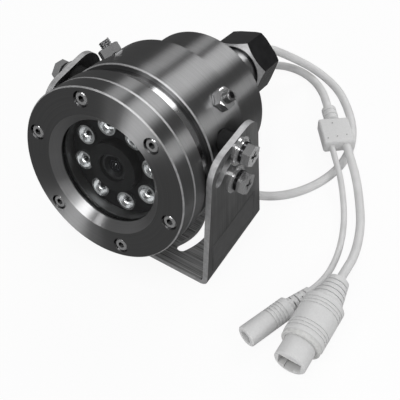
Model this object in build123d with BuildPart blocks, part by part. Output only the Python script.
from build123d import *

import os
from math import cos, hypot, pi, radians, sin, sqrt, tan

# Infrared night vision camera: a round stainless steel housing in a folded bracket,
# with a white lead that splits into a power socket and a network socket.
# Millimetres. The origin is the bracket's centre hole at the face it is screwed down by.
# The camera looks towards -Y, +Z is up, +X is its left-hand side as it looks out.

# Bracket
SHEET = 3.0
BASE_DEPTH = 55.5
EAR_GAP = 0.5
EAR_MARGIN = 7.6
EAR_TAPER = 0.09
EAR_CORNER_R = 12.0
BEND_INNER_R = 1.5
CENTRE_HOLE_R = 4.25
BASE_SLOT_RADIUS = 29.0
BASE_SLOT_WIDTH = 6.0
BASE_SLOT_HALF_ANGLE = 31.0

# Where the head hangs in the bracket, and how far it is tilted up in the rest pose
PIVOT_Y = -2.0
PIVOT_BEHIND_FRONT = 38.6
SWING_GAP = 0.67
TILT = 14.3
LOCK_RADIUS = 16.4
LOCK_SLOT_HALF_ANGLE = 50.0

# Side bolts with their washers and spacers
BOLT_R = 3.0
BOLT_CLEARANCE = 0.4
BOLT_HEAD_FLATS = 10.0
BOLT_HEAD_HEIGHT = 4.0
BOLT_RECESS_LENGTH = 5.6
BOLT_RECESS_WIDTH = 1.3
WIDE_WASHER_R = 7.4
WIDE_WASHER_THICKNESS = 1.5
WASHER_R = 6.0
WASHER_THICKNESS = 1.2
SPRING_WASHER_R = 5.4
SPRING_WASHER_THICKNESS = 1.6
SPRING_WASHER_SPLIT = 0.9
SPACER_R = 6.5
SEAT_CLEARANCE = 0.25
PIVOT_SEAT_SINK = 2.0
LOCK_SEAT_SINK = 2.33
PIVOT_THREAD_DEPTH = 5.8
LOCK_THREAD_DEPTH = 6.3
THREAD_CLEARANCE = 0.05

# Cover, window and front housing. Distances named BACK run along the axis from the front face.
RIM_R = 45.0
EDGE = 0.6
COVER_BACK = 9.4
FLANGE_BACK = 18.7
NECK_STEP = 3.0
NECK_BACK = 26.7
COVER_WIDTH = 18.0
WINDOW_BEVEL = 4.3
BEVEL_DEPTH = 4.0
LIP_BACK = 4.6
GASKET_THICKNESS = 0.8
GLASS_THICKNESS = 4.8
GLASS_LAP = 3.0
GLASS_CLEARANCE = 0.4
LEDGE_BACK = 24.2
LEDGE_WIDTH = 3.4
SPIGOT_STEP = 4.0
SPIGOT_BACK = 34.0
SPIGOT_CLEARANCE = 0.06
SEAL_RING_R = 0.9
SEAL_RING_CLEARANCE = 0.03
COVER_SEAL_INSET = 3.2
NECK_SEAL_BACK = 30.0

# Cover screws
SCREW_COUNT = 6
SCREW_CIRCLE_INSET = 6.25
SCREW_START_ANGLE = 49.1
SCREW_SHANK_R = 2.0
SCREW_HEAD_R = 3.5
SCREW_HEAD_HEIGHT = 4.0
SCREW_SOCKET_FLATS = 3.0
SCREW_SOCKET_DEPTH = 2.2
SCREW_LENGTH = 11.5
SCREW_RECESS = 0.5
COUNTERBORE_CLEARANCE = 0.55

# Main housing
RING_STEP = 0.4
RING_BACK = 35.9
BODY_STEP = 1.0
BODY_BACK = 58.9
REAR_STEP = 8.3
REAR_BACK = 89.4
BODY_WALL = 9.0
FRONT_CAVITY_BACK = 55.0
REAR_TUBE_WALL = 5.7
REAR_WALL = 6.0

# Studs on the body, 45 degrees each side of the top
STUD_BACK = 48.0
STUD_ANGLES = (45.0, 135.0)
STUD_R = 3.0
STUD_SINK = 5.0
STUD_SEAT_DEPTH = 0.4
STUD_SEAT_R = 6.5
STUD_NUT_FLATS = 10.0
STUD_NUT_HEIGHT = 5.0
STUD_FREE_END = 3.6

# Cable gland
GLAND_FLATS = 32.0
GLAND_THREAD_R = 10.0
GLAND_WASHER_THICKNESS = 1.5
GLAND_HEX_LENGTH = 13.0
GLAND_BARREL_R = 14.0
CAP_FRONT = 123.8
CAP_BACK = 145.0
CAP_END = 5.2
CAP_COLLAR_R = 15.0
CAP_CONE_ANGLE = 38.0
CAP_ANGLE = 17.5
CAP_THREAD_R = 11.8
GLAND_POCKET_R = 7.5
GLAND_POCKET_FRONT = 125.0
SEAL_NOSE_R = 4.6
GLAND_CLEARANCE = 0.1
CORE_INSIDE = 12.0

# Light board and lens
LED_COUNT = 8
LED_EDGE_GAP = 1.8
LED_START_ANGLE = 19.0
LED_LENS_R = 4.0
LED_LENS_HEIGHT = 5.6
LED_LENS_ROUND = 2.9
LED_HOLDER_R = 5.0
LED_HOLDER_HEIGHT = 3.4
LED_HOLDER_CLEARANCE = 0.05
BOARD_THICKNESS = 1.6
HEAT_PLATE_THICKNESS = 2.0
BOARD_EYE_R = 8.2
HOOD_GAP = 2.2
HOOD_EYE_R = 7.3
HOOD_CLEARANCE = 0.1
BARREL_R = 7.0
BARREL_FRONT = 13.4
BARREL_BEVEL_R = 5.6
BARREL_HEAD_LENGTH = 5.0
BARREL_THREAD_R = 5.95
BARREL_LENGTH = 17.0
FRONT_LENS_R = 3.8
FRONT_LENS_SINK = 2.4
LENS_MOUNT_R = 7.2
LENS_MOUNT_LENGTH = 12.5
LENS_MOUNT_FOOT = 18.0
SENSOR_BOARD_FRONT = 38.0
SENSOR_BOARD_SIDE = 33.0
SENSOR_SIDE = 9.0
SENSOR_THICKNESS = 1.2
PILLAR_PITCH = 22.0
PILLAR_FLATS = 5.0
MAIN_BOARD_FRONT = 50.6
MAIN_BOARD_R = 29.0
PILLAR_SCREW_R = 2.8
PILLAR_SCREW_HEIGHT = 1.8
TRANSFORMER = (14.0, 10.0, 6.0)
TRANSFORMER_PLACE = (-1.0, 9.0)
CAPACITOR_R = 4.0
CAPACITOR_HEIGHT = 11.0
CAPACITOR_PLACE = (5.5, -4.0)
LEAD_CONNECTOR = (10.0, 6.0, 7.0)
LEAD_CONNECTOR_PLACE = (-7.0, -3.0)

# Lead, splitter and tails
CABLE_R = 2.5
POWER_TAIL_R = 1.7
NETWORK_TAIL_R = 2.4
RADIUS_SHARE = 0.45
LEAD_EXIT = 9.0
TAIL_EXIT = 9.0
RELIEF_ENTRY = 8.0
SPLITTER_CENTRE = (61.0, 95.5, 8.6)
SPLITTER_HEADING = (0.6, -0.8, 0.09)
SPLITTER_LENGTH = 21.0
SPLITTER_WIDTH = 18.0
SPLITTER_HEIGHT = 8.0
SPLITTER_ROUND = 1.4
TAIL_SPACING = 8.6
RELIEF_RIB_COUNT = 3
RELIEF_RIB_PITCH = 4.0
RELIEF_RIB_R = 4.3
RELIEF_GROOVE = 0.5
RELIEF_GROOVE_WIDTH = 0.6

# Power socket
POWER_FACE = (81.7, -45.2)
POWER_HEADING = (0.35, 0.937)
POWER_R = 5.75
POWER_BODY_LENGTH = 27.5
POWER_RELIEF_LENGTH = 14.3
POWER_RELIEF_R = 4.1
POWER_BORE_R = 3.2
POWER_BORE_DEPTH = 10.0
POWER_RIM = 1.0
POWER_PIN_R = 1.05
POWER_PIN_LENGTH = 8.0
POWER_GROOVE_COUNT = 5
POWER_GROOVE_FRONT = 15.0
POWER_GROOVE_PITCH = 1.9
GROOVE_WIDTH = 0.8
GROOVE_DEPTH = 0.4
RELIEF_SLOT_COUNT = 4
RELIEF_SLOT_PITCH = 2.8
RELIEF_SLOT_FIRST = 2.5

# Network socket
NETWORK_X = 107.3
NETWORK_FACE_Y = -49.0
NETWORK_BODY_R = 10.7
NOSE_R = 8.3
NOSE_LENGTH = 11.0
NETWORK_SEAL_LENGTH = 2.2
NETWORK_SEAL_R = 10.4
NETWORK_BODY_BACK = 38.0
NETWORK_RELIEF_BACK = 53.0
NETWORK_RELIEF_R = 8.6
NETWORK_RELIEF_END_R = 5.5
NETWORK_GROOVE_COUNT = 3
NETWORK_GROOVE_PITCH = 1.9
NETWORK_GROOVE_INSET = 2.6
NETWORK_RIB_COUNT = 4
NETWORK_RIB_PITCH = 3.0
JACK_WIDTH = 11.8
JACK_HEIGHT = 8.2
JACK_DEPTH = 14.0
LATCH_WIDTH = 5.0
LATCH_HEIGHT = 2.0
CONTACT_COUNT = 8
CONTACT_PITCH = 1.02
CONTACT_SIDE = 0.5
CONTACT_LENGTH = 8.0

os.makedirs("parts", exist_ok=True)

# Directions of the tilted head
tilt = radians(TILT)
forward = Vector(0, -cos(tilt), sin(tilt))
upward = Vector(0, sin(tilt), cos(tilt))
pivot_z = SHEET + hypot(PIVOT_BEHIND_FRONT, RIM_R - EDGE) + SWING_GAP
pivot = Vector(0, PIVOT_Y, pivot_z)
lock = pivot + upward * LOCK_RADIUS
front_centre = pivot + forward * PIVOT_BEHIND_FRONT
head_axis = Axis(front_centre, forward * -1)

# Local x is the radius and local y the distance behind the front face
head_section = Plane(origin=front_centre, x_dir=(1, 0, 0), z_dir=upward)

# Radii that follow from the front rim and from the window
ring_r = RIM_R - RING_STEP
body_r = RIM_R - BODY_STEP
neck_r = RIM_R - NECK_STEP
rear_r = RIM_R - REAR_STEP
spigot_r = neck_r - SPIGOT_STEP
screw_circle_r = RIM_R - SCREW_CIRCLE_INSET
front_cavity_r = body_r - BODY_WALL
rear_cavity_r = rear_r - REAR_TUBE_WALL
window_r = RIM_R - COVER_WIDTH
window_face_r = window_r + WINDOW_BEVEL
glass_r = window_r + GLASS_LAP
pocket_r = glass_r + GLASS_CLEARANCE
inner_bore_r = window_r + GLASS_CLEARANCE
ledge_r = inner_bore_r - LEDGE_WIDTH
led_board_r = inner_bore_r - GLASS_CLEARANCE
led_circle_r = led_board_r - LED_HOLDER_R - LED_EDGE_GAP
hood_r = led_circle_r - LED_HOLDER_R - HOOD_GAP
cover_seal_r = pocket_r + COVER_SEAL_INSET

# Places that several pieces share
glass_front = LIP_BACK + GASKET_THICKNESS
glass_back = glass_front + GLASS_THICKNESS
seat_back = glass_back + GASKET_THICKNESS
led_board_back = LEDGE_BACK - HEAT_PLATE_THICKNESS
led_board_front = led_board_back - BOARD_THICKNESS
sensor_board_back = SENSOR_BOARD_FRONT + BOARD_THICKNESS
main_board_back = MAIN_BOARD_FRONT + BOARD_THICKNESS
rear_wall_front = REAR_BACK - REAR_WALL
gland_hex_front = REAR_BACK + GLAND_WASHER_THICKNESS
gland_hex_back = gland_hex_front + GLAND_HEX_LENGTH
ear_inside = RIM_R + EAR_GAP
ear_outside = ear_inside + SHEET
ear_height = pivot_z + LOCK_RADIUS + EAR_MARGIN
pivot_seat_x = body_r - PIVOT_SEAT_SINK
lock_seat_x = sqrt(body_r**2 - LOCK_RADIUS**2) - LOCK_SEAT_SINK
seal_shoulder = CAP_BACK - CAP_END
stud_seat_r = body_r - STUD_SEAT_DEPTH


def across(distance):
    """Plane square to the head's axis, facing forward, this far behind the front face."""
    return Plane(origin=front_centre - forward * distance, x_dir=(1, 0, 0), z_dir=forward)


def beside(point, side, distance):
    """Plane that faces out of one side of the camera, this far from the middle."""
    return Plane(origin=(side * distance, point.Y, point.Z), x_dir=(0, 1, 0), z_dir=(side, 0, 0))


def on_body(angle, radius):
    """Plane that faces away from the head's axis at a stud."""
    outward = Vector(1, 0, 0) * cos(radians(angle)) + upward * sin(radians(angle))
    middle = front_centre - forward * STUD_BACK + outward * radius
    return Plane(origin=middle, x_dir=forward, z_dir=outward)


def outline(*points):
    """Closed straight-sided face, at its own coordinates, in the sketch that is open."""
    Polygon(*points, align=None)


def band(inner, outer, front, back):
    """Rectangle of a turned ring in the head's section."""
    outline((inner, front), (outer, front), (outer, back), (inner, back))


def finish(piece, name):
    piece.part.label = name
    export_step(piece.part, f"parts/{name}.step")


# Folded bracket: a channel cut to the ears' outline
with BuildPart() as bracket:
    with BuildSketch(Plane.XZ):
        outline(
            (-ear_outside, 0),
            (ear_outside, 0),
            (ear_outside, ear_height),
            (ear_inside, ear_height),
            (ear_inside, SHEET),
            (-ear_inside, SHEET),
            (-ear_inside, ear_height),
            (-ear_outside, ear_height),
        )
        fillet(vertices().group_by(Axis.Y)[1], BEND_INNER_R)
        fillet(vertices().group_by(Axis.Y)[0], BEND_INNER_R + SHEET)
    extrude(amount=BASE_DEPTH / 2, both=True)
    with BuildSketch(Plane.YZ):
        ear_top_half = BASE_DEPTH / 2 - EAR_TAPER * ear_height
        outline(
            (-BASE_DEPTH / 2, 0),
            (BASE_DEPTH / 2, 0),
            (ear_top_half, ear_height),
            (-ear_top_half, ear_height),
        )
        fillet(vertices().group_by(Axis.Y)[-1], EAR_CORNER_R)
    extrude(amount=2 * ear_outside, both=True, mode=Mode.INTERSECT)
    with BuildSketch(Plane.YZ):
        with BuildLine(mode=Mode.PRIVATE) as lock_path:
            start = 90 - LOCK_SLOT_HALF_ANGLE
            CenterArc((PIVOT_Y, pivot_z), LOCK_RADIUS, start, 2 * LOCK_SLOT_HALF_ANGLE)
        SlotArc(arc=lock_path.wire(), height=2 * (BOLT_R + BOLT_CLEARANCE))
        with Locations((PIVOT_Y, pivot_z)):
            Circle(BOLT_R + BOLT_CLEARANCE)
    extrude(amount=2 * ear_outside, both=True, mode=Mode.SUBTRACT)
    with BuildSketch(Plane.XY):
        Circle(CENTRE_HOLE_R)
        for middle_angle in (0, 180):
            with BuildLine(mode=Mode.PRIVATE) as base_slot_path:
                start = middle_angle - BASE_SLOT_HALF_ANGLE
                CenterArc((0, 0), BASE_SLOT_RADIUS, start, 2 * BASE_SLOT_HALF_ANGLE)
            SlotArc(arc=base_slot_path.wire(), height=BASE_SLOT_WIDTH)
    extrude(amount=SHEET, mode=Mode.SUBTRACT)
finish(bracket, "bracket")

# Cover ring with a bevelled window and six counterbores
with BuildPart() as front_cover:
    with BuildSketch(head_section):
        outline(
            (window_face_r, 0),
            (RIM_R - EDGE, 0),
            (RIM_R, EDGE),
            (RIM_R, COVER_BACK - EDGE),
            (RIM_R - EDGE, COVER_BACK),
            (pocket_r, COVER_BACK),
            (pocket_r, LIP_BACK),
            (window_r, LIP_BACK),
            (window_r, BEVEL_DEPTH),
        )
    revolve(axis=head_axis)
    with Locations(across(0)):
        with PolarLocations(screw_circle_r, SCREW_COUNT, SCREW_START_ANGLE):
            CounterBoreHole(
                radius=SCREW_SHANK_R + SEAT_CLEARANCE,
                counter_bore_radius=SCREW_HEAD_R + COUNTERBORE_CLEARANCE,
                counter_bore_depth=SCREW_RECESS + SCREW_HEAD_HEIGHT,
                depth=COVER_BACK,
            )
finish(front_cover, "front_cover")

# Socket head screws that clamp the cover
with BuildPart() as cover_screws:
    with Locations(across(SCREW_RECESS)):
        with PolarLocations(screw_circle_r, SCREW_COUNT, SCREW_START_ANGLE):
            Cylinder(SCREW_HEAD_R, SCREW_HEAD_HEIGHT, align=(Align.CENTER, Align.CENTER, Align.MAX))
            Cylinder(
                SCREW_SHANK_R,
                SCREW_HEAD_HEIGHT + SCREW_LENGTH,
                align=(Align.CENTER, Align.CENTER, Align.MAX),
            )
    chamfer(edges().filter_by(GeomType.CIRCLE).group_by(head_axis)[0], EDGE)
    with BuildSketch(across(SCREW_RECESS)):
        with PolarLocations(screw_circle_r, SCREW_COUNT, SCREW_START_ANGLE):
            RegularPolygon(SCREW_SOCKET_FLATS / 2, 6, major_radius=False)
    extrude(amount=-SCREW_SOCKET_DEPTH, mode=Mode.SUBTRACT)
finish(cover_screws, "cover_screws")

# Window: a flat ring seal, the glass and the ring seal it beds on
with BuildPart() as window_gasket:
    with BuildSketch(head_section):
        band(window_r + GLASS_CLEARANCE, glass_r, LIP_BACK, glass_front)
    revolve(axis=head_axis)
finish(window_gasket, "window_gasket")

with BuildPart() as window_glass:
    with BuildSketch(head_section):
        outline(
            (0, glass_front),
            (glass_r - GLASS_CLEARANCE, glass_front),
            (glass_r, glass_front + GLASS_CLEARANCE),
            (glass_r, glass_back - GLASS_CLEARANCE),
            (glass_r - GLASS_CLEARANCE, glass_back),
            (0, glass_back),
        )
    revolve(axis=head_axis)
finish(window_glass, "window_glass")

with BuildPart() as window_seat_ring:
    with BuildSketch(head_section):
        band(inner_bore_r + GLASS_CLEARANCE, glass_r, glass_back, seat_back)
    revolve(axis=head_axis)
finish(window_seat_ring, "window_seat_ring")

# Front housing: flange, polished neck and the spigot that screws into the main housing
groove_half = SEAL_RING_R + SEAL_RING_CLEARANCE
cover_groove_back = COVER_BACK + 2 * SEAL_RING_R + SEAL_RING_CLEARANCE
neck_groove_r = spigot_r - 2 * SEAL_RING_R
with BuildPart() as front_housing:
    with BuildSketch(head_section):
        outline(
            (pocket_r, COVER_BACK),
            (cover_seal_r - groove_half, COVER_BACK),
            (cover_seal_r - groove_half, cover_groove_back),
            (cover_seal_r + groove_half, cover_groove_back),
            (cover_seal_r + groove_half, COVER_BACK),
            (RIM_R - EDGE, COVER_BACK),
            (RIM_R, COVER_BACK + EDGE),
            (RIM_R, FLANGE_BACK - EDGE),
            (RIM_R - EDGE, FLANGE_BACK),
            (neck_r, FLANGE_BACK),
            (neck_r, NECK_BACK),
            (spigot_r, NECK_BACK),
            (spigot_r, NECK_SEAL_BACK - groove_half),
            (neck_groove_r, NECK_SEAL_BACK - groove_half),
            (neck_groove_r, NECK_SEAL_BACK + groove_half),
            (spigot_r, NECK_SEAL_BACK + groove_half),
            (spigot_r, SPIGOT_BACK),
            (ledge_r, SPIGOT_BACK),
            (ledge_r, LEDGE_BACK),
            (inner_bore_r, LEDGE_BACK),
            (inner_bore_r, seat_back),
            (pocket_r, seat_back),
        )
    revolve(axis=head_axis)
    with Locations(across(COVER_BACK)):
        with PolarLocations(screw_circle_r, SCREW_COUNT, SCREW_START_ANGLE):
            Hole(
                SCREW_SHANK_R + THREAD_CLEARANCE,
                depth=SCREW_RECESS + SCREW_HEAD_HEIGHT + SCREW_LENGTH + EDGE - COVER_BACK,
            )
finish(front_housing, "front_housing")

# Round seals between cover and flange, and round the spigot
with BuildPart() as cover_seal:
    with BuildSketch(head_section):
        with Locations((cover_seal_r, COVER_BACK + SEAL_RING_R + SEAL_RING_CLEARANCE / 2)):
            Circle(SEAL_RING_R)
    revolve(axis=head_axis)
finish(cover_seal, "cover_seal")

with BuildPart() as neck_seal:
    with BuildSketch(head_section):
        with Locations((neck_groove_r + SEAL_RING_R + SEAL_RING_CLEARANCE, NECK_SEAL_BACK)):
            Circle(SEAL_RING_R)
    revolve(axis=head_axis)
finish(neck_seal, "neck_seal")

# Main housing, turned from bar, with spot faces for the side bolts and the studs
with BuildPart() as main_housing:
    with BuildSketch(head_section):
        outline(
            (spigot_r + SPIGOT_CLEARANCE, NECK_BACK),
            (ring_r - EDGE, NECK_BACK),
            (ring_r, NECK_BACK + EDGE),
            (ring_r, RING_BACK - EDGE),
            (body_r, RING_BACK),
            (body_r, BODY_BACK - EDGE),
            (body_r - EDGE, BODY_BACK),
            (rear_r, BODY_BACK),
            (rear_r, REAR_BACK - EDGE),
            (rear_r - EDGE, REAR_BACK),
            (GLAND_THREAD_R + THREAD_CLEARANCE, REAR_BACK),
            (GLAND_THREAD_R + THREAD_CLEARANCE, rear_wall_front),
            (rear_cavity_r, rear_wall_front),
            (rear_cavity_r, FRONT_CAVITY_BACK),
            (front_cavity_r, FRONT_CAVITY_BACK),
            (front_cavity_r, SPIGOT_BACK + EDGE),
            (spigot_r + SPIGOT_CLEARANCE, SPIGOT_BACK + EDGE),
        )
    revolve(axis=head_axis)
    for side in (-1, 1):
        bolt_seats = (
            (pivot, pivot_seat_x, PIVOT_THREAD_DEPTH),
            (lock, lock_seat_x, LOCK_THREAD_DEPTH),
        )
        for point, seat_x, thread_depth in bolt_seats:
            with BuildSketch(beside(point, side, seat_x)):
                Circle(SPACER_R + SEAT_CLEARANCE)
            extrude(amount=ear_inside - seat_x, mode=Mode.SUBTRACT)
            with BuildSketch(beside(point, side, seat_x)):
                Circle(BOLT_R + THREAD_CLEARANCE)
            extrude(amount=-thread_depth - EDGE, mode=Mode.SUBTRACT)
    for angle in STUD_ANGLES:
        with BuildSketch(on_body(angle, stud_seat_r)):
            Circle(STUD_SEAT_R)
        extrude(amount=STUD_SEAT_R, mode=Mode.SUBTRACT)
        with BuildSketch(on_body(angle, stud_seat_r)):
            Circle(STUD_R + THREAD_CLEARANCE)
        extrude(amount=-STUD_SINK - SEAT_CLEARANCE, mode=Mode.SUBTRACT)
finish(main_housing, "main_housing")

# Threaded studs for a sunshield or an earth lead, with their nuts
with BuildPart() as stud_screws:
    for angle in STUD_ANGLES:
        with BuildSketch(on_body(angle, stud_seat_r - STUD_SINK)):
            Circle(STUD_R)
        extrude(amount=STUD_SINK + STUD_NUT_HEIGHT + STUD_FREE_END)
    chamfer(edges().filter_by(GeomType.CIRCLE).sort_by(Axis.Z)[-2:], EDGE)
finish(stud_screws, "stud_screws")

nut_corner_r = STUD_NUT_FLATS / 2 / cos(radians(30))
with BuildPart() as stud_nuts:
    for angle in STUD_ANGLES:
        with BuildSketch(on_body(angle, stud_seat_r)):
            RegularPolygon(STUD_NUT_FLATS / 2, 6, major_radius=False)
        extrude(amount=STUD_NUT_HEIGHT)
    for angle in STUD_ANGLES:
        nut_foot = on_body(angle, stud_seat_r)
        with BuildSketch(Plane(origin=nut_foot.origin, x_dir=nut_foot.x_dir, z_dir=nut_foot.y_dir)):
            for top in (0, -STUD_NUT_HEIGHT):
                tip = -EDGE if top == 0 else EDGE - STUD_NUT_HEIGHT
                outline(
                    (nut_corner_r - 2 * EDGE, top),
                    (nut_corner_r + EDGE, top),
                    (nut_corner_r + EDGE, tip),
                    (nut_corner_r, tip),
                )
        revolve(axis=Axis(nut_foot.origin, nut_foot.z_dir), mode=Mode.SUBTRACT)
        with BuildSketch(nut_foot):
            Circle(STUD_R + THREAD_CLEARANCE)
        extrude(amount=STUD_NUT_HEIGHT, mode=Mode.SUBTRACT)
finish(stud_nuts, "stud_nuts")

# Side bolts, two on each side: the lower one is the pivot, the upper one locks the tilt
washer_face = ear_outside + WIDE_WASHER_THICKNESS
spring_face = washer_face + WASHER_THICKNESS
head_face = spring_face + SPRING_WASHER_THICKNESS
bolt_places = [(point, side) for point in (pivot, lock) for side in (-1, 1)]


def bolt_pair(point, thread_end, name):
    """Cross-recessed hexagon bolts, one on each side, with their threads up to thread_end."""
    with BuildPart() as bolts:
        for side in (-1, 1):
            with BuildSketch(beside(point, side, thread_end)):
                Circle(BOLT_R)
            extrude(amount=head_face - thread_end)
            with BuildSketch(beside(point, side, head_face)):
                RegularPolygon(BOLT_HEAD_FLATS / 2, 6, major_radius=False, rotation=TILT)
            extrude(amount=BOLT_HEAD_HEIGHT)
            with BuildSketch(beside(point, side, head_face + BOLT_HEAD_HEIGHT)):
                Rectangle(BOLT_RECESS_LENGTH, BOLT_RECESS_WIDTH, rotation=TILT + 45)
                Rectangle(BOLT_RECESS_WIDTH, BOLT_RECESS_LENGTH, rotation=TILT + 45)
            extrude(amount=-BOLT_HEAD_HEIGHT / 2, mode=Mode.SUBTRACT)
    finish(bolts, name)


bolt_pair(pivot, pivot_seat_x - PIVOT_THREAD_DEPTH, "pivot_bolts")
bolt_pair(lock, lock_seat_x - LOCK_THREAD_DEPTH, "lock_bolts")

bolt_hole_r = BOLT_R + SEAT_CLEARANCE
with BuildPart() as wide_washers:
    for point, side in bolt_places:
        with BuildSketch(beside(point, side, ear_outside)):
            Circle(WIDE_WASHER_R)
            Circle(bolt_hole_r, mode=Mode.SUBTRACT)
        extrude(amount=WIDE_WASHER_THICKNESS)
finish(wide_washers, "wide_washers")

with BuildPart() as flat_washers:
    for point, side in bolt_places:
        with BuildSketch(beside(point, side, washer_face)):
            Circle(WASHER_R)
            Circle(bolt_hole_r, mode=Mode.SUBTRACT)
        extrude(amount=WASHER_THICKNESS)
finish(flat_washers, "flat_washers")

with BuildPart() as spring_washers:
    for point, side in bolt_places:
        with BuildSketch(beside(point, side, spring_face)):
            Circle(SPRING_WASHER_R)
            Circle(bolt_hole_r, mode=Mode.SUBTRACT)
            with Locations((SPRING_WASHER_R, 0)):
                Rectangle(SPRING_WASHER_R, SPRING_WASHER_SPLIT, rotation=30, mode=Mode.SUBTRACT)
        extrude(amount=SPRING_WASHER_THICKNESS)
finish(spring_washers, "spring_washers")

with BuildPart() as side_spacers:
    for point, side in bolt_places:
        seat_x = pivot_seat_x if point is pivot else lock_seat_x
        with BuildSketch(beside(point, side, seat_x)):
            Circle(SPACER_R)
            Circle(bolt_hole_r, mode=Mode.SUBTRACT)
        extrude(amount=ear_inside - seat_x)
finish(side_spacers, "side_spacers")

# Cable gland: washer, body, rubber seal and hexagon cap
with BuildPart() as gland_washer:
    with BuildSketch(head_section):
        band(GLAND_THREAD_R + THREAD_CLEARANCE, GLAND_FLATS / 2, REAR_BACK, gland_hex_front)
    revolve(axis=head_axis)
finish(gland_washer, "gland_washer")

gland_thread_back = seal_shoulder - 2 * EDGE
with BuildPart() as gland_body:
    with BuildSketch(across(gland_hex_back)):
        RegularPolygon(GLAND_FLATS / 2, 6, major_radius=False, rotation=CAP_ANGLE + 30)
    extrude(amount=GLAND_HEX_LENGTH)
    with BuildSketch(head_section):
        band(0, GLAND_THREAD_R, rear_wall_front, gland_hex_back)
        band(0, GLAND_BARREL_R, gland_hex_back, CAP_FRONT)
        band(0, CAP_THREAD_R, CAP_FRONT, gland_thread_back)
    revolve(axis=head_axis)
    with BuildSketch(head_section):
        band(0, CABLE_R + GLAND_CLEARANCE, rear_wall_front, gland_thread_back)
        band(0, GLAND_POCKET_R, GLAND_POCKET_FRONT, gland_thread_back)
    revolve(axis=head_axis, mode=Mode.SUBTRACT)
finish(gland_body, "gland_body")

with BuildPart() as gland_seal:
    with BuildSketch(head_section):
        outline(
            (CABLE_R + THREAD_CLEARANCE, GLAND_POCKET_FRONT),
            (GLAND_POCKET_R - GLAND_CLEARANCE, GLAND_POCKET_FRONT),
            (GLAND_POCKET_R - GLAND_CLEARANCE, seal_shoulder),
            (SEAL_NOSE_R, seal_shoulder),
            (SEAL_NOSE_R, CAP_BACK),
            (CABLE_R + THREAD_CLEARANCE, CAP_BACK),
        )
    revolve(axis=head_axis)
finish(gland_seal, "gland_seal")

cap_corner_r = GLAND_FLATS / 2 / cos(radians(30))
cap_cone_back = CAP_FRONT + EDGE + (cap_corner_r - CAP_COLLAR_R) * tan(radians(CAP_CONE_ANGLE))
with BuildPart() as gland_cap:
    with BuildSketch(across(CAP_BACK)):
        RegularPolygon(GLAND_FLATS / 2, 6, major_radius=False, rotation=CAP_ANGLE)
    extrude(amount=CAP_BACK - CAP_FRONT)
    with BuildSketch(head_section):
        outline(
            (0, CAP_FRONT),
            (CAP_COLLAR_R, CAP_FRONT),
            (CAP_COLLAR_R, CAP_FRONT + EDGE),
            (cap_corner_r, cap_cone_back),
            (cap_corner_r, CAP_BACK - 2 * EDGE),
            (cap_corner_r - 3 * EDGE, CAP_BACK),
            (0, CAP_BACK),
        )
    revolve(axis=head_axis, mode=Mode.INTERSECT)
    with BuildSketch(head_section):
        band(0, CAP_THREAD_R + GLAND_CLEARANCE, CAP_FRONT, seal_shoulder - EDGE)
        band(0, GLAND_POCKET_R, CAP_FRONT, seal_shoulder + THREAD_CLEARANCE)
        band(0, SEAL_NOSE_R + GLAND_CLEARANCE, CAP_FRONT, CAP_BACK)
    revolve(axis=head_axis, mode=Mode.SUBTRACT)
finish(gland_cap, "gland_cap")

# The lead inside the gland and the rear chamber
cable_core_front = rear_wall_front - CORE_INSIDE
with BuildPart() as cable_core:
    with BuildSketch(head_section):
        band(0, CABLE_R, cable_core_front, CAP_BACK)
    revolve(axis=head_axis)
finish(cable_core, "cable_core")

# Heat plate and light board on the ledge of the front housing
with BuildPart() as heat_plate:
    with BuildSketch(head_section):
        band(BOARD_EYE_R, led_board_r, led_board_back, LEDGE_BACK)
    revolve(axis=head_axis)
finish(heat_plate, "heat_plate")

with BuildPart() as led_board:
    with BuildSketch(head_section):
        band(BOARD_EYE_R, led_board_r, led_board_front, led_board_back)
    revolve(axis=head_axis)
finish(led_board, "led_board")

with BuildPart() as led_lenses:
    with Locations(across(led_board_front)):
        with PolarLocations(led_circle_r, LED_COUNT, LED_START_ANGLE):
            Cylinder(
                LED_LENS_R,
                LED_LENS_HEIGHT,
                align=(Align.CENTER, Align.CENTER, Align.MIN),
            )
    fillet(edges().filter_by(GeomType.CIRCLE).group_by(head_axis)[0], LED_LENS_ROUND)
finish(led_lenses, "led_lenses")

with BuildPart() as led_holders:
    with BuildSketch(across(led_board_front)):
        with PolarLocations(led_circle_r, LED_COUNT, LED_START_ANGLE):
            Circle(LED_HOLDER_R)
            Circle(LED_LENS_R + LED_HOLDER_CLEARANCE, mode=Mode.SUBTRACT)
    extrude(amount=LED_HOLDER_HEIGHT)
finish(led_holders, "led_holders")

# Black hood that keeps the lamps' light out of the lens
with BuildPart() as lens_hood:
    with BuildSketch(head_section):
        band(HOOD_EYE_R, hood_r, glass_back + HOOD_CLEARANCE, led_board_front)
    revolve(axis=head_axis)
finish(lens_hood, "lens_hood")

# Lens barrel with a bevelled mouth, its front glass and the threaded mount
barrel_head_back = BARREL_FRONT + BARREL_HEAD_LENGTH
barrel_back = BARREL_FRONT + BARREL_LENGTH
with BuildPart() as lens_barrel:
    with BuildSketch(head_section):
        outline(
            (BARREL_BEVEL_R, BARREL_FRONT),
            (BARREL_R, BARREL_FRONT),
            (BARREL_R, barrel_head_back),
            (BARREL_THREAD_R, barrel_head_back),
            (BARREL_THREAD_R, barrel_back),
            (FRONT_LENS_R, barrel_back),
            (FRONT_LENS_R, BARREL_FRONT + FRONT_LENS_SINK),
        )
    revolve(axis=head_axis)
finish(lens_barrel, "lens_barrel")

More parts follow.
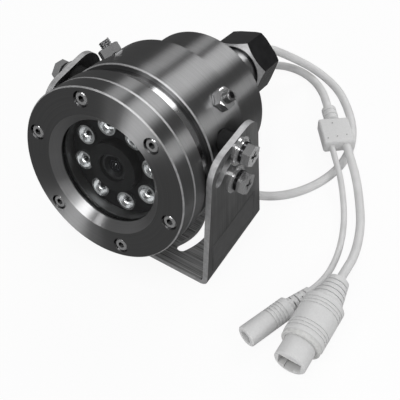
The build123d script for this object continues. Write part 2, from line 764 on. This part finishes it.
with BuildPart() as lens_glass:
    with BuildSketch(head_section):
        with BuildLine():
            crown = (0, BARREL_FRONT + FRONT_LENS_SINK - 2 * EDGE)
            shoulder = (FRONT_LENS_R, BARREL_FRONT + FRONT_LENS_SINK)
            foot = (FRONT_LENS_R, barrel_back)
            centre = (0, barrel_back)
            TangentArc(crown, shoulder, tangent=(1, 0))
            Polyline(shoulder, foot, centre, crown)
        make_face()
    revolve(axis=head_axis)
finish(lens_glass, "lens_glass")

mount_front = SENSOR_BOARD_FRONT - LENS_MOUNT_LENGTH
with BuildPart() as lens_mount:
    with BuildSketch(head_section):
        band(0, LENS_MOUNT_R, mount_front, SENSOR_BOARD_FRONT)
    revolve(axis=head_axis)
    with BuildSketch(across(SENSOR_BOARD_FRONT)):
        RectangleRounded(LENS_MOUNT_FOOT, LENS_MOUNT_FOOT, 2 * EDGE)
    extrude(amount=LENS_MOUNT_LENGTH / 3)
    with BuildSketch(head_section):
        band(0, BARREL_THREAD_R + THREAD_CLEARANCE, mount_front, SENSOR_BOARD_FRONT)
    revolve(axis=head_axis, mode=Mode.SUBTRACT)
    with BuildSketch(across(SENSOR_BOARD_FRONT)):
        Rectangle(LENS_MOUNT_FOOT - 4 * EDGE, LENS_MOUNT_FOOT - 4 * EDGE)
    extrude(amount=LENS_MOUNT_LENGTH / 4, mode=Mode.SUBTRACT)
finish(lens_mount, "lens_mount")

# Sensor board with its chip, on four pillars behind the heat plate
with BuildPart() as image_sensor:
    with BuildSketch(across(SENSOR_BOARD_FRONT)):
        Rectangle(SENSOR_SIDE, SENSOR_SIDE)
    extrude(amount=SENSOR_THICKNESS)
finish(image_sensor, "image_sensor")

with BuildPart() as sensor_board:
    with BuildSketch(across(sensor_board_back)):
        RectangleRounded(SENSOR_BOARD_SIDE, SENSOR_BOARD_SIDE, 2 * EDGE)
    extrude(amount=BOARD_THICKNESS)
finish(sensor_board, "sensor_board")

with BuildPart() as front_pillars:
    with BuildSketch(across(SENSOR_BOARD_FRONT)):
        with GridLocations(PILLAR_PITCH, PILLAR_PITCH, 2, 2):
            RegularPolygon(PILLAR_FLATS / 2, 6, major_radius=False)
    extrude(amount=SENSOR_BOARD_FRONT - LEDGE_BACK)
finish(front_pillars, "front_pillars")

with BuildPart() as rear_pillars:
    with BuildSketch(across(MAIN_BOARD_FRONT)):
        with GridLocations(PILLAR_PITCH, PILLAR_PITCH, 2, 2):
            RegularPolygon(PILLAR_FLATS / 2, 6, major_radius=False)
    extrude(amount=MAIN_BOARD_FRONT - sensor_board_back)
finish(rear_pillars, "rear_pillars")

with BuildPart() as main_board:
    with BuildSketch(across(main_board_back)):
        Circle(MAIN_BOARD_R)
    extrude(amount=BOARD_THICKNESS)
finish(main_board, "main_board")

with BuildPart() as pillar_screws:
    with BuildSketch(across(main_board_back)):
        with GridLocations(PILLAR_PITCH, PILLAR_PITCH, 2, 2):
            Circle(PILLAR_SCREW_R)
    extrude(amount=-PILLAR_SCREW_HEIGHT)
finish(pillar_screws, "pillar_screws")

# Network transformer, a tall capacitor and the lead's connector on the main board
with BuildPart() as board_parts:
    with BuildSketch(across(main_board_back)):
        with Locations(TRANSFORMER_PLACE):
            Rectangle(TRANSFORMER[0], TRANSFORMER[1])
    extrude(amount=-TRANSFORMER[2])
    with BuildSketch(across(main_board_back)):
        with Locations(CAPACITOR_PLACE):
            Circle(CAPACITOR_R)
    extrude(amount=-CAPACITOR_HEIGHT)
    with BuildSketch(across(main_board_back)):
        with Locations(LEAD_CONNECTOR_PLACE):
            Rectangle(LEAD_CONNECTOR[0], LEAD_CONNECTOR[1])
    extrude(amount=-LEAD_CONNECTOR[2])
finish(board_parts, "board_parts")

# Free lead. Every route is a list of chosen points, rounded by tangent arcs.
exit_point = front_centre - forward * CAP_BACK
lead_route = [
    exit_point,
    exit_point - forward * LEAD_EXIT,
    Vector(2.0, 120.3, 29.5),
    Vector(6.2, 128.6, 21.5),
    Vector(13.0, 136.2, 13.4),
    Vector(22.6, 140.6, 7.4),
    Vector(34.5, 140.2, 3.3),
    Vector(45.6, 134.4, 2.5),
]
lead_landing = (lead_route[-3] + lead_route[-2]) / 2
floor_route = [
    lead_landing,
    *lead_route[-2:],
    Vector(55.0, 125.0, 2.5),
    Vector(63.4, 114.4, 2.5),
    Vector(69.6, 102.0, 2.5),
    Vector(72.6, 88.4, 2.5),
    Vector(71.6, 74.4, 2.5),
    Vector(67.0, 60.8, 2.5),
    Vector(59.2, 48.4, 2.5),
    Vector(48.6, 39.2, 2.5),
    Vector(35.4, 34.0, 2.5),
    Vector(21.4, 34.2, 2.5),
    Vector(8.2, 39.4, 2.5),
    Vector(-3.0, 48.6, 2.5),
    Vector(-11.4, 60.4, 2.5),
    Vector(-16.4, 74.2, 2.5),
    Vector(-17.6, 88.8, 2.5),
    Vector(-18.2, 103.8, 2.5),
    Vector(-15.4, 118.4, 2.5),
    Vector(-8.6, 130.6, 2.5),
    Vector(2.4, 138.0, 2.5),
    Vector(15.2, 139.4, 2.5),
    Vector(27.8, 135.4, 2.5),
    Vector(37.0, 127.4, 4.0),
]

# Splitter block, lying over the lead, with its ribbed relief at the lead's side
splitter_middle = Vector(*SPLITTER_CENTRE)
splitter_heading = Vector(*SPLITTER_HEADING).normalized()
splitter_across = Vector(0, 0, 1).cross(splitter_heading).normalized()
splitter_plane = Plane(
    origin=splitter_middle,
    x_dir=splitter_heading,
    z_dir=splitter_heading.cross(splitter_across),
)
relief_length = RELIEF_RIB_COUNT * RELIEF_RIB_PITCH
relief_tip = splitter_middle - splitter_heading * (SPLITTER_LENGTH / 2 + relief_length)
tail_face = splitter_middle + splitter_heading * (SPLITTER_LENGTH / 2)
power_start = tail_face + splitter_across * (-TAIL_SPACING / 2)
network_start = tail_face + splitter_across * (TAIL_SPACING / 2)
floor_route += [relief_tip - splitter_heading * RELIEF_ENTRY, relief_tip]

with BuildPart() as splitter:
    with BuildSketch(splitter_plane.offset(-SPLITTER_HEIGHT / 2)):
        Rectangle(SPLITTER_LENGTH, SPLITTER_WIDTH)
    extrude(amount=SPLITTER_HEIGHT)
    fillet(edges().filter_by(GeomType.LINE), SPLITTER_ROUND)
    with BuildSketch(Plane(origin=relief_tip, x_dir=splitter_across, z_dir=splitter_plane.z_dir)):
        for rib in range(RELIEF_RIB_COUNT):
            front = -rib * RELIEF_RIB_PITCH
            back = front - RELIEF_RIB_PITCH
            outline(
                (0, front),
                (RELIEF_RIB_R - RELIEF_GROOVE, front),
                (RELIEF_RIB_R, front - RELIEF_GROOVE),
                (RELIEF_RIB_R, back + RELIEF_GROOVE_WIDTH),
                (RELIEF_RIB_R - RELIEF_GROOVE, back + RELIEF_GROOVE_WIDTH),
                (RELIEF_RIB_R - RELIEF_GROOVE, back),
                (0, back),
            )
    revolve(axis=Axis(relief_tip, splitter_heading))
finish(splitter, "splitter")


def turned_along(start, heading):
    """Section plane of a piece that is turned about a level line: x is radius, y is length."""
    return Plane(origin=start, x_dir=(heading.Y, -heading.X, 0), z_dir=(0, 0, 1))


def grooves(radius, first, pitch, count):
    """Shallow square grooves round a turned piece."""
    for number in range(count):
        front = first + number * pitch
        band(radius - GROOVE_DEPTH, radius + 2 * GROOVE_DEPTH, front, front + GROOVE_WIDTH)


# Power socket, moulded on its tail, with a slotted relief
power_heading = Vector(*POWER_HEADING, 0).normalized()
power_face = Vector(*POWER_FACE, POWER_R)
power_axis = Axis(power_face, power_heading)
power_section = turned_along(power_face, power_heading)
power_back = POWER_BODY_LENGTH + POWER_RELIEF_LENGTH
power_end = power_face + power_heading * power_back
with BuildPart() as power_socket:
    with BuildSketch(power_section):
        outline(
            (POWER_BORE_R, 0),
            (POWER_R - POWER_RIM / 2, 0),
            (POWER_R, POWER_RIM / 2),
            (POWER_R, POWER_BODY_LENGTH - POWER_RIM / 2),
            (POWER_R - POWER_RIM / 2, POWER_BODY_LENGTH),
            (POWER_RELIEF_R, POWER_BODY_LENGTH),
            (POWER_TAIL_R + POWER_RIM, power_back),
            (0, power_back),
            (0, POWER_BORE_DEPTH),
            (POWER_BORE_R, POWER_BORE_DEPTH),
        )
    revolve(axis=power_axis)
    with BuildSketch(power_section):
        grooves(POWER_R, POWER_GROOVE_FRONT, POWER_GROOVE_PITCH, POWER_GROOVE_COUNT)
    revolve(axis=power_axis, mode=Mode.SUBTRACT)
    for slot in range(RELIEF_SLOT_COUNT):
        slot_middle = POWER_BODY_LENGTH + RELIEF_SLOT_FIRST + RELIEF_SLOT_PITCH * slot
        slot_plane = Plane(
            origin=power_face + power_heading * slot_middle,
            x_dir=power_section.x_dir,
            z_dir=power_heading,
        )
        turn = 90 * (slot % 2)
        with BuildSketch(slot_plane):
            Circle(POWER_RELIEF_R + POWER_RIM)
            Circle(POWER_TAIL_R + POWER_RIM / 4, mode=Mode.SUBTRACT)
            Rectangle(2 * POWER_RIM, 3 * POWER_RELIEF_R, rotation=turn, mode=Mode.SUBTRACT)
        extrude(amount=GROOVE_WIDTH / 2, both=True, mode=Mode.SUBTRACT)
finish(power_socket, "power_socket")

with BuildPart() as power_pin:
    with BuildSketch(power_section):
        band(0, POWER_PIN_R, POWER_BORE_DEPTH - POWER_PIN_LENGTH, POWER_BORE_DEPTH)
    revolve(axis=power_axis)
    chamfer(edges().filter_by(GeomType.CIRCLE).sort_by(power_axis)[0], POWER_PIN_R / 3)
finish(power_pin, "power_pin")

# Network socket: round nose with the jack's mouth, seal, ribbed body and relief
network_face = Vector(NETWORK_X, NETWORK_FACE_Y, NETWORK_BODY_R)
network_heading = Vector(0, 1, 0)
network_axis = Axis(network_face, network_heading)
network_section = turned_along(network_face, network_heading)
network_front = NOSE_LENGTH + NETWORK_SEAL_LENGTH
network_end = network_face + network_heading * NETWORK_RELIEF_BACK
rear_groove = NETWORK_BODY_BACK - NETWORK_GROOVE_INSET - NETWORK_GROOVE_COUNT * NETWORK_GROOVE_PITCH
relief_step = (NETWORK_RELIEF_R - NETWORK_RELIEF_END_R) / (NETWORK_RELIEF_BACK - NETWORK_BODY_BACK)
with BuildPart() as network_socket:
    with BuildSketch(network_section):
        outline(
            (0, 0),
            (NOSE_R - EDGE, 0),
            (NOSE_R, EDGE),
            (NOSE_R, network_front),
            (NETWORK_BODY_R - EDGE, network_front),
            (NETWORK_BODY_R, network_front + EDGE),
            (NETWORK_BODY_R, NETWORK_BODY_BACK - 2 * EDGE),
            (NETWORK_BODY_R - 2 * EDGE, NETWORK_BODY_BACK),
            (NETWORK_RELIEF_R, NETWORK_BODY_BACK),
            (NETWORK_RELIEF_END_R, NETWORK_RELIEF_BACK),
            (0, NETWORK_RELIEF_BACK),
        )
    revolve(axis=network_axis)
    with BuildSketch(network_section):
        for first in (network_front + NETWORK_GROOVE_INSET, rear_groove):
            grooves(NETWORK_BODY_R, first, NETWORK_GROOVE_PITCH, NETWORK_GROOVE_COUNT)
        for number in range(NETWORK_RIB_COUNT):
            station = NETWORK_RIB_PITCH * (number + 1) - GROOVE_WIDTH
            relief_r = NETWORK_RELIEF_R - station * relief_step - GROOVE_DEPTH
            grooves(relief_r, NETWORK_BODY_BACK + station, NETWORK_RIB_PITCH, 1)
    revolve(axis=network_axis, mode=Mode.SUBTRACT)
    with BuildSketch(Plane(origin=network_face, x_dir=(1, 0, 0), z_dir=(0, -1, 0))):
        Rectangle(JACK_WIDTH, JACK_HEIGHT)
        with Locations((0, -JACK_HEIGHT / 2 - LATCH_HEIGHT / 2)):
            Rectangle(LATCH_WIDTH, LATCH_HEIGHT)
    extrude(amount=-JACK_DEPTH, mode=Mode.SUBTRACT)
finish(network_socket, "network_socket")

with BuildPart() as network_seal:
    with BuildSketch(network_section):
        band(NOSE_R + THREAD_CLEARANCE, NETWORK_SEAL_R, NOSE_LENGTH, network_front)
    revolve(axis=network_axis)
    fillet(edges().filter_by(GeomType.CIRCLE).sort_by(network_axis)[:2], EDGE)
finish(network_seal, "network_seal")

contact_top = network_face.Z + JACK_HEIGHT / 2
with BuildPart() as network_contacts:
    for number in range(CONTACT_COUNT):
        offset_x = (number - (CONTACT_COUNT - 1) / 2) * CONTACT_PITCH
        with BuildSketch(Plane.XZ.offset(-NETWORK_FACE_Y - JACK_DEPTH + CONTACT_LENGTH)):
            with Locations((NETWORK_X + offset_x, contact_top - CONTACT_SIDE / 2)):
                Rectangle(CONTACT_SIDE, CONTACT_SIDE)
        extrude(amount=-CONTACT_LENGTH)
finish(network_contacts, "network_contacts")

power_route = [
    power_start,
    power_start + splitter_heading * TAIL_EXIT,
    Vector(77.6, 68.4, 6.6),
    Vector(85.0, 57.6, 3.0),
    Vector(91.4, 45.6, 1.7),
    Vector(96.2, 32.2, 1.7),
    Vector(99.0, 18.2, 2.6),
    power_end + power_heading * TAIL_EXIT,
    power_end,
]
network_route = [
    network_start,
    network_start + splitter_heading * TAIL_EXIT,
    Vector(85.0, 73.0, 6.8),
    Vector(93.2, 61.0, 3.2),
    Vector(100.0, 48.2, 2.4),
    Vector(104.4, 34.6, 3.4),
    Vector(106.8, 22.2, 7.2),
    network_end + network_heading * TAIL_EXIT,
    network_end,
]


def bend_radii(route):
    """One arc radius for each corner: the largest that its two runs leave room for."""
    radii = []
    for before, corner, after in zip(route, route[1:], route[2:]):
        arrive = corner - before
        leave = after - corner
        turn = arrive.get_angle(leave)
        shorter = min(arrive.length, leave.length)
        radii.append(RADIUS_SHARE * shorter / tan(radians(turn) / 2))
    return radii


def lay_tube(route, radius, name):
    """Tube of one cord along its route, with its length and tightest bend printed."""
    with BuildPart() as tube:
        with BuildLine() as path:
            FilletPolyline(*route, radius=bend_radii(route))
        with BuildSketch(Plane(origin=path.line @ 0, z_dir=path.line % 0)):
            Circle(radius)
        sweep()
    length = path.wire().length
    filled = tube.part.volume / (pi * radius**2 * length)
    print(name, "length", round(length, 1), "volume share", round(filled, 4))
    print("bend radii", [round(bend, 1) for bend in bend_radii(route)])
    finish(tube, name)


lay_tube(lead_route[:-2] + [lead_landing], CABLE_R, "cable_lead")
lay_tube(floor_route, CABLE_R, "main_cable")
lay_tube(power_route, POWER_TAIL_R, "power_tail")
lay_tube(network_route, NETWORK_TAIL_R, "network_tail")
